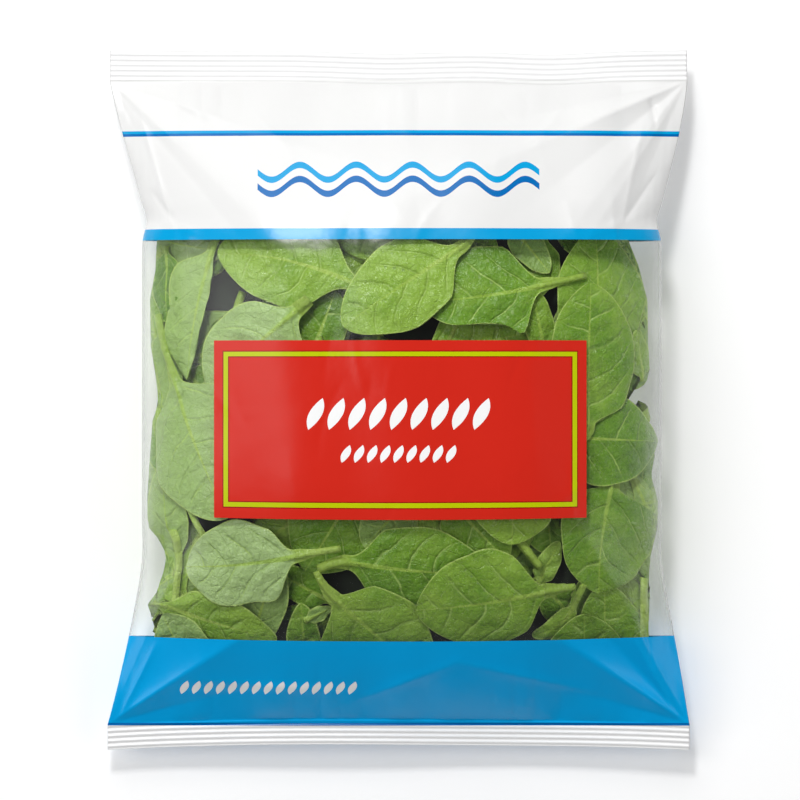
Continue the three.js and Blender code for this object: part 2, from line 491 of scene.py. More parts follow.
def wave_line(u, v, centre, length, swing, pitch, thick):
    """A plain sine line of even thickness: 1 inside it."""
    u = calc("SUBTRACT", u, centre[0])
    in_row = calc("LESS_THAN", calc("ABSOLUTE", u), length / 2)
    turned = calc("SINE", times(u, 2 * math.pi / pitch))
    middle = plus(turned, swing, centre[1])
    off = calc("ABSOLUTE", calc("SUBTRACT", v, middle))
    return times(calc("LESS_THAN", off, thick / 2), in_row)


# The inks.
WHITE_INK = linear(227, 227, 226)
MARK_WHITE = linear(250, 250, 250)
SEAL_WHITE = linear(240, 240, 240)
SKY_INK = linear(0, 156, 213)
DEEP_INK = linear(0, 104, 176)
BAND_INK = linear(0, 170, 238)
RED_INK = linear(211, 40, 26)
DARK_RED_INK = linear(150, 8, 14)
LIME_INK = linear(190, 204, 0)
FOOT_WHITE = linear(255, 255, 255)
NO_INK = (0, 0, 0, 1)
THIN_INK = (0.96, 0.96, 0.96, 1)
FULL_INK = (1, 1, 1, 1)

# Heights on the flat print, in metres from the bag's middle: where each ink begins, and how far it covers.
PRINT_END = HALF_HEIGHT * 0.001
BAND_FOOT = -0.1310
BAND_EDGE = -0.0952
WINDOW_TOP = 0.0628
PRINTED_BANDS = (
    (-PRINT_END, FOOT_WHITE), (BAND_FOOT, DEEP_INK), (-0.1301, BAND_INK), (BAND_EDGE, FULL_INK),
    (WINDOW_TOP, SKY_INK), (0.0672, DEEP_INK), (0.0678, WHITE_INK), (0.1052, DEEP_INK), (0.1055, SKY_INK),
    (0.1070, DEEP_INK), (0.1073, WHITE_INK), (0.1281, SEAL_WHITE))
INK_COVER = ((-PRINT_END, THIN_INK), (BAND_FOOT, FULL_INK), (BAND_EDGE, NO_INK), (WINDOW_TOP, FULL_INK))

# The label, its lime frame, and how far from the frame's outer edge each ink begins.
LABEL_CENTRE = (0.0007, -0.0115)
LABEL_HALF = (0.0738, 0.0351)
RULE_HALF = (0.0700, 0.0306)
RULE_REACH = 0.004
LABEL_INKS = (
    (-RULE_REACH, RED_INK), (-0.0022, DARK_RED_INK), (-0.0018, LIME_INK), (0.0, DARK_RED_INK), (0.0004, RED_INK))

# Plain marks. Rows of lenses: centre, length, height and pitch. Waves: centres, then length, swing, pitch and
# thickness.
LENS_SLANT = 0.45
LENS_HALF = 0.33
LARGE_MARKS = ((0.0, -0.0055), 0.0738, 0.0126, 0.0082)
SMALL_MARKS = ((0.0, -0.0213), 0.0468, 0.0070, 0.0052)
FOOT_MARKS = ((-0.052, -0.1148), 0.0720, 0.0056, 0.0048)
LIGHT_WAVE = (0.0, 0.0905)
DEEP_WAVE = (0.0, 0.0848)
WAVE_SHAPE = (0.112, 0.0030, 0.0224, 0.0026)


def printed_film():
    """Inks on clear film. Ink is a glossy plain colour, and bare film is see-through with a mirror gloss."""
    material, tree = new_finish("printed_film")
    place = add_node(tree, "UVMap", uv_map="print").outputs[0]
    axes = add_node(tree, "SeparateXYZ", {0: place})
    u, v = axes.outputs[0], axes.outputs[1]
    sheet = add_node(tree, "Attribute", attribute_name="front").outputs["Fac"]
    front = calc("GREATER_THAN", sheet, 0.5)

    def on_front(mark):
        """The mark on the front sheet alone."""
        return times(mark, front)

    def frame_reach(half):
        """How far a point lies outside a rectangle about the label's middle: below zero inside it."""
        return calc("MAXIMUM", *(
            reach(axis, centre, size) for axis, centre, size in zip((u, v), LABEL_CENTRE, half)))

    bands = steps(v, -PRINT_END, PRINT_END, PRINTED_BANDS)
    covered = steps(v, -PRINT_END, PRINT_END, INK_COVER)
    for centre, colour in ((LIGHT_WAVE, SKY_INK), (DEEP_WAVE, DEEP_INK)):
        bands = blend(on_front(wave_line(u, v, centre, *WAVE_SHAPE)), bands, colour)
    bands = blend(on_front(lens_row(u, v, *FOOT_MARKS)), bands, MARK_WHITE)

    on_label = on_front(calc("LESS_THAN", frame_reach(LABEL_HALF), 0.0))
    label = steps(frame_reach(RULE_HALF), -RULE_REACH, RULE_REACH, LABEL_INKS)
    for marks in (LARGE_MARKS, SMALL_MARKS):
        label = blend(lens_row(u, v, *marks), label, MARK_WHITE)
    colour = blend(on_label, bands, label)
    ink_cover = calc("MAXIMUM", covered, on_label)

    crinkled = relief(noise(own_place(tree), 55.0, 3.0), 0.25, 0.0012)
    ink = shader(tree, "Principled", {
        "Base Color": colour, "Roughness": 0.25, "Specular IOR Level": 0.27, "IOR": 1.46, "Normal": crinkled})
    see_through = shader(tree, "Transparent", {"Color": (0.985, 0.99, 0.985, 1)})
    haze = shader(tree, "Diffuse", {"Color": (0.9, 0.91, 0.93, 1)})
    gloss = shader(tree, "Glossy", {"Roughness": 0.2, "Normal": crinkled})
    grazing = add_node(tree, "LayerWeight", {"Blend": 0.5}).outputs["Facing"]
    mirror = plus(calc("POWER", grazing, 4.0), 0.8, 0.030)
    mist = plus(calc("POWER", grazing, 2.0), 0.8, 0.003)
    bare = layered(mirror, layered(mist, see_through, haze), gloss)
    return finished(material, layered(ink_cover, bare, ink))


def new_film(name, mesh, points, front):
    """A piece of printed film: front is 1 on the front sheet, where the label and the marks are, and else 0."""
    set_uv(mesh, "print", print_place(points))
    set_values(mesh, "front", front)
    return new_piece(name, mesh, film_finish)


film_finish = printed_film()
film = new_film("film", *film_mesh(FRONT_COLUMNS))
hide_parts("bag")


# The back seam. The film's two long edges overlap down the middle of the back and are sealed together,
# a flat ribbon of double film from seal to seal.
SEAM_WIDTH = 12.0
SEAM_THICKNESS = 0.25
SEAM_GAP = 0.08
SEAM_SHIFT = 3
SEAM_ROWS = 90
SEAM_COLUMNS = 7


def ring_index(shape):
    """Vertex numbers of rings of points, with the first number of each ring again at its end."""
    index = np.arange(math.prod(shape)).reshape(shape)
    return np.concatenate([index, index[..., :1]], axis=-1)


def back_seam_mesh():
    """A flat closed ribbon that follows the back sheet: the same heights, less a gap and its own thickness."""
    y = np.linspace(-TOP_LINE + 1, TOP_LINE - 1, SEAM_ROWS)
    x = np.linspace(-SEAM_WIDTH / 2, SEAM_WIDTH / 2, SEAM_COLUMNS) + SEAM_SHIFT
    xx, yy = np.meshgrid(x, y)
    sheet = film_point(False, (xx - middle_x(yy)) / half_width(yy), yy)
    top, low = sheet - (0, 0, SEAM_GAP), sheet - (0, 0, SEAM_GAP + SEAM_THICKNESS)
    ring = np.concatenate([top, low[:, ::-1]], axis=1)
    around = ring_index(ring.shape[:2])
    ends = np.stack([around[0, :-1], around[-1, -2::-1]])
    points = ring.reshape(-1, 3)
    faces = [grid_faces(around)[:, ::-1], ends[:, ::-1]]
    return new_mesh("back_seam", points, faces), points, np.zeros(len(points))


new_film("back_seam", *back_seam_mesh())


# Leaves against the window. Young spinach leaves, a smooth oval blade on a round stalk that runs on as the
# rib, pressed flat against the film. Each is one closed skin from the cut end of its stalk to its tip.
HEAP_CLEARANCE = 0.9
LOWEST_LEAF = 1.2
LEAST_ROOM = 1.2
ROOM_SHARE = 0.42
SECTION_STEPS = 400
HEAP_ROWS = np.linspace(-122, 108, 116)

# How far the heap stands in from the film's sides: heights and gaps on the right, then on the left.
RIGHT_GAPS = ((-122, 9), (-96, 4.5), (-70, 4.2), (-62, 3), (-52, 0.4), (-40, 0.3), (-30, 3), (-16, 0.2),
              (-4, 4), (4, 5.5), (12, 3.5), (24, 4.2), (40, 4.4), (54, 8), (64, 12), (108, 14))
LEFT_GAPS = ((-122, 9), (-96, 4), (-86, 3.3), (-81.5, 1.2), (-78, 5), (-72, 7), (-64, 9), (-57, 6.5),
             (-52, 1.8), (-47, 1), (-38, 1), (-26, 1.7), (-8, 3), (-1, 5.4), (6, 4.8), (22, 2.2), (41, 2),
             (52, 4.2), (64, 4.6), (108, 12))


def heap_section(turn, y):
    """The heap's outline just inside the film, and the room in it, for turns from 0 in the front's middle to 1
    in the back's."""
    u = np.sin(np.pi * turn)
    gaps = np.where(u > 0, np.interp(y, *zip(*RIGHT_GAPS)), np.interp(y, *zip(*LEFT_GAPS)))
    reached = (np.minimum(half_width(y), BODY_WIDTH / 2 + 1) - gaps) * u
    film_u = reached / half_width(y)
    x = middle_x(y) + reached
    middle = middle_height(x, y)
    creased = broad_relief(x, y, film_u)
    gap = HEAP_CLEARANCE * (1 - u ** 8)
    front = middle + np.minimum(front_profile(u, y), front_profile(film_u, y) + creased) - gap
    back = middle - np.minimum(back_profile(u, y), back_profile(film_u, y) + 0.5 * creased) + gap
    z = np.where(np.cos(np.pi * turn) >= 0, front, np.maximum(back, LOWEST_LEAF))
    room = np.maximum(LEAST_ROOM, ROOM_SHARE * (front - back)) + 0 * z
    return x, z, room


def even_lengths(left, right):
    """Lengths from the front's middle at the table's columns: even steps to the left and to the right."""
    even = np.linspace(-1, 1, SECTION_STEPS + 1)
    return np.where(even < 0, even * left, even * right)


def unit(vectors):
    """Vectors of length one: each over its own length."""
    return vectors / np.maximum(np.linalg.norm(vectors, axis=-1, keepdims=True), 1e-6)


def heap_table():
    """Points and outward normals of the heap's skin, evenly spaced by length from the front's middle to the
    back's, the length of both ways round, and the room under each point before the other side's skin."""
    turn = np.linspace(-1, 1, SECTION_STEPS * 3 + 1)
    tt, yy = np.meshgrid(turn, HEAP_ROWS)
    x, z, room = heap_section(tt, yy)
    length = np.cumsum(np.hypot(np.diff(x), np.diff(z)), axis=1)
    length = np.concatenate([np.zeros((len(yy), 1)), length], axis=1)
    length -= length[:, SECTION_STEPS * 3 // 2][:, None]
    left, right = -length[:, 0], length[:, -1]
    places = even_lengths(left[:, None], right[:, None])
    x, z, room = (np.stack([np.interp(place, l, row) for place, l, row in zip(places, length, table)])
                  for table in (x, z, room))
    points = np.stack([x, np.broadcast_to(HEAP_ROWS[:, None], x.shape), z], -1)
    around = np.roll(points[:, :-1], -2, 1) - np.roll(points[:, :-1], 2, 1)
    around = np.concatenate([around, around[:, :1]], axis=1)
    return points, unit(np.cross(around, np.gradient(points, axis=0))), left, right, room[..., None]


HEAP_POINTS, HEAP_NORMALS, HEAP_LEFT, HEAP_RIGHT, HEAP_ROOM = heap_table()


def heap_place(a, y, depth):
    """The point at length a around the heap and height y, by blending the table, and a depth under the skin
    there, which never grows past the room."""
    y = np.clip(y, HEAP_ROWS[0] + 3, HEAP_ROWS[-1] - 3)
    row = np.clip((y - HEAP_ROWS[0]) / (HEAP_ROWS[1] - HEAP_ROWS[0]), 0, len(HEAP_ROWS) - 1.001)
    left, right = (np.interp(row, np.arange(len(HEAP_ROWS)), way) for way in (HEAP_LEFT, HEAP_RIGHT))
    run = (a + left) % (left + right)
    column = np.where(run < left, run / left, 1 + (run - left) / right) * SECTION_STEPS / 2
    r, c = row.astype(int), np.minimum(column.astype(int), SECTION_STEPS - 1)
    fr, fc = (row - r)[..., None], (column - c)[..., None]

    def look_up(table):
        """A table's value between its rows and columns: a straight blend of the four nearest."""
        low = table[r, c] * (1 - fc) + table[r, c + 1] * fc
        high = table[r + 1, c] * (1 - fc) + table[r + 1, c + 1] * fc
        return low * (1 - fr) + high * fr

    point = look_up(HEAP_POINTS)
    point[..., 1] = y
    room = look_up(HEAP_ROOM)
    return point - look_up(HEAP_NORMALS) * room * np.tanh(depth[..., None] / room)


def length_at(x, y):
    """The length around the heap's front at which its skin stands over x, for one height y."""
    row = round((y - HEAP_ROWS[0]) / (HEAP_ROWS[1] - HEAP_ROWS[0]))
    row = min(max(row, 0), len(HEAP_ROWS) - 1)
    quarter = SECTION_STEPS // 4
    lengths = even_lengths(HEAP_LEFT[row], HEAP_RIGHT[row])[quarter:-quarter]
    return float(np.interp(x, np.maximum.accumulate(HEAP_POINTS[row, quarter:-quarter, 0]), lengths))


# A leaf's numbers. stalk: length, depth: layers under the film, tone_and_light: how light its greens are, partly
# its own green and partly painted light and shade for how lit it lies, wave: of the margin, bow and bend: how
# far blade and stalk curve sideways, pitch, roll and cup: tilts, under: shows its underside, widest: where along
# the blade,
# flare: the neck's share, lean: to one side, lobe and other_lobe: swellings beside the neck, curl: how far a
# margin
# rolls over, puff: between the veins, ruffle: of the outline. First a plain leaf's.
PLAIN_LEAF = dict(
    bow=0.0, bend=0.0, pitch=0.0, roll=0.0, cup=0.0, under=0, thick=1.15, widest=0.45, flare=0.19, lean=0.0,
    lobe=0.0, other_lobe=0.0, curl=0.0, puff=1.0, ruffle=0.03)
LAYER_DEPTH = 1.9
QUILT_HEIGHT = 1.25
VEIN_PITCH = 11.5
FOLD_START = 0.72
FOLDED = 1 - FOLD_START


def leftward(vectors):
    """Vectors in the plane turned a quarter to the left."""
    return np.stack([-vectors[..., 1], vectors[..., 0]], -1)


def leaf(base, tip, width, stalk, depth, tone_and_light, wave, seed, **shape):
    """One leaf's numbers, its base and tip given as x and y seen from the front."""
    start, end = (np.array([length_at(*point), point[1]]) for point in (base, tip))
    return dict(PLAIN_LEAF, start=start, end=end, width=width, stalk=stalk, depth=depth, tone_and_light=tone_and_light, wave=wave,
                seed=seed, **shape)


def leaf_lines(one, field, t):
    """The leaves' middle lines, side directions and blade lengths, for places t from -1 at the stalk's end,
    through 0 at the base, to 1 at the tip. The blade bows as a parabola and the stalk bends with its square."""
    out, back = np.maximum(t, 0), np.maximum(-t, 0)
    run = field["end"] - field["start"]
    length = np.linalg.norm(run, axis=1, keepdims=True)
    left = leftward(unit(run))
    first = unit(run + 4 * one["bow"] * left)
    line = field["start"][:, None, :]
    for way, far in ((run, out), (left, one["bow"] * 4 * out * (1 - out)), (-first, one["stalk"] * back),
                     (leftward(first), one["bend"] * back ** 2)):
        line = line + way[:, None, :] * far[..., None]
    return line, leftward(unit(np.gradient(line, axis=1))), length


def leaf_skins(plans, stalk_rows, blade_rows, half_columns):
    """All leaves of a group as arrays, leaf by row by ring.

    The half width is a power of a sine along the blade, flared out of the stalk, with lobes beside the neck.
    Each ring goes over the shown face and back under it. Its height is the leaf's depth with tilt, cup, waves
    along the margin, swellings between the side veins and a rolled margin, and never comes through the film.
    """
    field = {key: np.array([plan[key] for plan in plans], float) for key in plans[0]}
    one = {key: value[:, None] for key, value in field.items() if value.ndim == 1}
    two = {key: value[:, None, None] for key, value in field.items() if value.ndim == 1}
    blade = (1 - np.cos(np.linspace(0, np.pi, blade_rows))) / 2
    t = np.concatenate([np.linspace(-1, 0, stalk_rows + 1)[:-1], blade])[None, :]
    line, side, length = leaf_lines(one, field, t)
    out = np.maximum(t, 0)

    shape = np.sin(np.pi * out ** (np.log(0.5) / np.log(one["widest"])))
    shape = np.maximum(shape, 0) ** 0.58 * smoothstep(0, 1, out / one["flare"]) ** 0.7
    rib = one["thick"] * np.where(t > 0, 0.94 * (1 - out) ** 1.2 + 0.06, 1 + 0.25 * np.maximum(-t, 0))
    neck = 0.075 * one["width"] * np.exp(-np.where(t > 0, length * t / 6, one["stalk"] * t / 8) ** 2)
    k = np.linspace(-1, 1, 2 * half_columns + 1)
    v = np.sign(k) * (1 - np.cos(np.pi * k)) / 2
    ring_v = np.concatenate([v, v[-2:0:-1]])[None, None, :]
    upper = np.concatenate([np.ones(len(v)), np.zeros(len(v) - 2)])[None, None, :]
    out, seed = out[..., None], two["seed"]
    ripple = 1 + two["ruffle"] * np.sin(13 * out + seed * 40 + 2 * ring_v) * (out > 0)
    lobes = 1 + np.where(ring_v > 0, two["lobe"], two["other_lobe"]) * bump(out, 0.2, 0.11)
    wide = (one["width"] / 2 * shape + neck)[..., None] * ripple * lobes * (1 + two["lean"] * ring_v)
    wide = np.hypot(wide, rib[..., None])

    rolled = np.abs(two["curl"]) * (ring_v * two["curl"] > 0) * bump(out, 0.5, 0.3)
    past = np.clip((np.abs(ring_v) - FOLD_START) / FOLDED, 0, 1)
    turned = rolled * past
    safe = np.maximum(rolled, 1e-3)
    inner_v = np.minimum(np.abs(ring_v), FOLD_START)
    flat_v = inner_v + FOLDED * np.where(rolled > 1e-3, np.sin(turned) / safe, past)
    lifted = FOLDED * wide * np.where(rolled > 1e-3, (1 - np.cos(turned)) / safe, 0)
    x = np.sign(ring_v) * flat_v * wide

    along = (length * t)[..., None]
    flat_x = ring_v * wide
    off = np.abs(flat_x)
    vein = (along - 0.55 * off - 0.018 * off ** 2) / VEIN_PITCH + seed
    vein = vein + 0.14 * np.sin(flat_x / 4.3 + 21 * seed) + 0.12 * np.sin(along / 5.7 + flat_x / 6 + 33 * seed)
    inner = np.sin(np.pi * np.clip(out, 0, 1)) ** 0.5 * np.clip(1 - ring_v ** 4, 0, 1) * np.clip(off / 3, 0, 1)
    quilt = (np.abs(np.sin(np.pi * (vein + 0.45 * (ring_v > 0)))) ** 1.5 - 0.5) * inner * (1.25 - out)
    shown_under = two["under"] > 0.5
    height = -LAYER_DEPTH * two["depth"] - two["pitch"] * (out - 0.5) - two["roll"] * ring_v * shape[..., None]
    height = height + two["cup"] * ((off * 2 / two["width"]) ** 2 - 0.3) * (out > 0)
    margin = np.abs(ring_v) ** 2.5 * out ** 0.5
    height = height + two["wave"] * margin * np.sin(2 * np.pi * 2.2 * t[..., None] + 9 * seed + 1.7 * ring_v)
    height = height + 0.3 * inner * np.sin(along / 5.1 + 9 * seed) * np.sin(flat_x / 4.3 + 5 * seed)
    height = height + np.where(shown_under, -1.0, 1.0) * QUILT_HEIGHT * two["puff"] * quilt + lifted

    half_thick = 0.16 * np.sqrt(np.clip(1 - ring_v ** 4, 0, 1))
    round_rib = np.sqrt(np.clip(rib[..., None] ** 2 - flat_x ** 2, 0, None))
    fades = smoothstep(-0.05, 0.3, t[..., None])
    closing = np.sqrt(np.clip(1 - ring_v ** 8, 0, 1))
    groove = 0.22 * np.exp(-(flat_x / 0.9) ** 2) * smoothstep(0.0, 0.2, t[..., None]) * (1 - out) * ~shown_under
    top = np.hypot(half_thick, round_rib * (1 - fades * np.where(shown_under, 0.15, 0.9))) * closing - groove
    low = np.hypot(half_thick, round_rib * (1 - fades * np.where(shown_under, 0.9, 0.15))) * closing + groove
    thick = np.where(upper > 0.5, top, -low)
    x = x - np.sign(ring_v) * np.sin(turned) * thick
    height = height + np.cos(turned) * thick
    depth = 0.15 + 0.3 * np.logaddexp(0, (-height - 0.15) / 0.3)

    a = line[:, :, None, 0] + side[:, :, None, 0] * x
    y = line[:, :, None, 1] + side[:, :, None, 1] * x
    values = dict(across=flat_x, along=along, part=t[..., None], vein=vein, margin=(1 - np.abs(ring_v)) * wide,
                  pale=1.0 * ((upper > 0.5) == shown_under), tone_and_light=two["tone_and_light"], kind=seed)
    return heap_place(a, y, depth), {name: value + 0 * a for name, value in values.items()}


def with_poles(rings):
    """Points or values of rings, then the mean of the first and of the last ring of each skin."""
    last = rings.shape[3:]
    return np.concatenate([rings.reshape(-1, *last), rings[:, [0, -1]].mean(axis=2).reshape(-1, *last)])


def closed_faces(shape):
    """Faces of closed skins: quads from ring to ring, and triangles from the end rings to the poles."""
    around = ring_index(shape)
    poles = math.prod(shape) + np.arange(shape[0] * 2).reshape(-1, 2, 1) + 0 * around[:, :2, 1:]
    first = np.stack([around[:, 0, 1:], around[:, 0, :-1], poles[:, 0]], -1)
    last = np.stack([around[:, -1, :-1], around[:, -1, 1:], poles[:, 1]], -1)
    return [grid_faces(around), np.concatenate([first, last]).reshape(-1, 3)]


def leaves_mesh(name, plans, stalk_rows, blade_rows, half_columns):
    """A group of leaves as one mesh. Rings are joined row by row, and a point closes each end."""
    points, values = leaf_skins(plans, stalk_rows, blade_rows, half_columns)
    mesh = new_mesh(name, with_poles(points), [faces[:, ::-1] for faces in closed_faces(points.shape[:3])])
    for value_name, value in values.items():
        set_values(mesh, value_name, with_poles(value))
    return mesh


# Leaf greens from a leaf in shade to one in full light: partly the leaves' own greens and partly painted light
# and shade.
LEAF_GREENS = (linear(50, 102, 4), linear(97, 147, 14), linear(146, 184, 60))


def leaf_finish():
    """Satin leaf: arching side veins and a faint net by the blade's own measures, pale rib and stalk. Painted
    light and
    shade as well: greens by how lit each leaf lies, a speckle that is partly painted sheen, painted shade beside
    the side veins and a painted highlight along the margin.
    """
    material, tree = new_finish("spinach_leaf")
    place = own_place(tree)

    def value(name):
        """One of the numbers stored on the leaves."""
        return add_node(tree, "Attribute", attribute_name=name).outputs["Fac"]

    def speckle(scale, detail, roughness=0.5):
        """Noise that is fixed to the leaf."""
        return noise(place, scale, detail, roughness)

    across, along, part, margin = value("across"), value("along"), value("part"), value("margin")
    pale, tone_and_light, kind = value("pale"), value("tone_and_light"), value("kind")

    wander = speckle(140.0, 2.0)
    on_right = calc("GREATER_THAN", across, 0.0)
    phase = plus(wander, 0.22, plus(on_right, 0.45, value("vein")))
    crest = calc("ABSOLUTE", calc("SINE", times(phase, math.pi)))
    in_blade = times(rescale(margin, 1.0, 6.0), rescale(part, 0.0, 0.1))
    valley = times(rescale(crest, 0.42, 0.0, smooth=True), in_blade)
    side_vein = times(rescale(crest, 0.17, 0.03, smooth=True), in_blade)
    side_vein = times(side_vein, rescale(speckle(75.0, 1.0), 0.4, 0.6, 0.4, 1.0))

    flat = add_node(tree, "CombineXYZ", {
        0: plus(wander, 4.0, across), 1: plus(wander, -4.0, along), 2: times(kind, 90.0)}).outputs[0]

    def net(scale, wide, narrow):
        """Fine veins along the edges of cells."""
        sockets = {"Scale": scale, "Vector": flat}
        cells = add_node(tree, "TexVoronoi", sockets, feature="DISTANCE_TO_EDGE")
        return rescale(cells.outputs["Distance"], wide, narrow, smooth=True)

    net_vein, fine_vein = net(0.17, 0.04, 0.006), net(0.9, 0.12, 0.02)

    rib_width = plus(calc("POWER", rescale(part, 0.0, 1.0, 1.0, 0.0), 1.4), 1.0, 0.26)
    past_rib = calc("SUBTRACT", rib_width, calc("ABSOLUTE", across))
    rib = rescale(past_rib, -0.12, 0.4, smooth=True)
    stalk = rescale(part, 0.08, -0.06, smooth=True)
    light_part = calc("MAXIMUM", rib, stalk)

    # Each leaf's tone with noise: partly the leaves' own greens, and partly painted light and shade, darker
    # greens for leaves in shade and lighter ones for leaves in full light.
    shade_and_blotch = plus(tone_and_light, 0.9, plus(speckle(330.0, 4.0, 0.65), 0.5, speckle(60.0, 3.0)))
    top_colour = add_node(tree, "ValToRGB", {0: rescale(shade_and_blotch, 0.35, 1.55)})
    ramp = top_colour.color_ramp
    ramp.elements.new(0.58)
    for element, position, green in zip(ramp.elements, (0.2, 0.58, 0.95), LEAF_GREENS):
        element.position, element.color = position, green
    # A fine light speckle: partly the blade's grain and partly a painted sheen.
    grain_and_sheen = rescale(speckle(1100.0, 2.0, 0.6), 0.3, 0.7)
    # Painted shade in the grooves beside the side veins.
    valley_shade = calc("SUBTRACT", valley, side_vein)
    stem_colour = blend(speckle(40.0, 2.0), linear(146, 190, 50), linear(192, 212, 108))
    colour = top_colour.outputs[0]
    for factor, over in (
            # The lightest tones are washed towards a whitish green: painted light on the leaves in full light.
            (rescale(tone_and_light, 0.85, 1.4, 0.0, 0.9), linear(184, 210, 152)),
            (times(pale, 0.55), linear(154, 184, 118)),
            (times(fine_vein, 0.10), linear(150, 184, 84)),
            (times(net_vein, 0.16), linear(156, 190, 80)),
            (times(side_vein, 0.8), linear(176, 206, 108)),
            # The speckle blended in: partly grain, partly painted sheen.
            (times(grain_and_sheen, 0.22), linear(178, 214, 96)),
            # Painted shade: the vein grooves darkened.
            (times(valley_shade, 0.14), linear(40, 84, 16)),
            # A light line along the margin: a painted highlight on the leaf's edge.
            (times(rescale(margin, 0.8, 0.35), 0.7), linear(196, 222, 118)),
            (times(light_part, 0.85), stem_colour)):
        colour = blend(factor, colour, over)

    height = plus(valley, -0.7, times(net_vein, -0.25))
    for layer, share in ((fine_vein, -0.15), (speckle(1900.0, 2.0), 0.35), (speckle(650.0, 2.0), 0.7),
                         (speckle(170.0, 2.0), 3.2)):
        height = plus(layer, share, height)
    roughness = rescale(speckle(150.0, 3.0), 0.3, 0.7, 0.2, 0.4)
    return finished(material, shader(tree, "Principled", {
        "Base Color": colour, "Roughness": roughness, "IOR": 1.45, "Specular IOR Level": 0.65,
        "Normal": relief(height, 0.9, 0.0006)}))


leaf_green = leaf_finish()
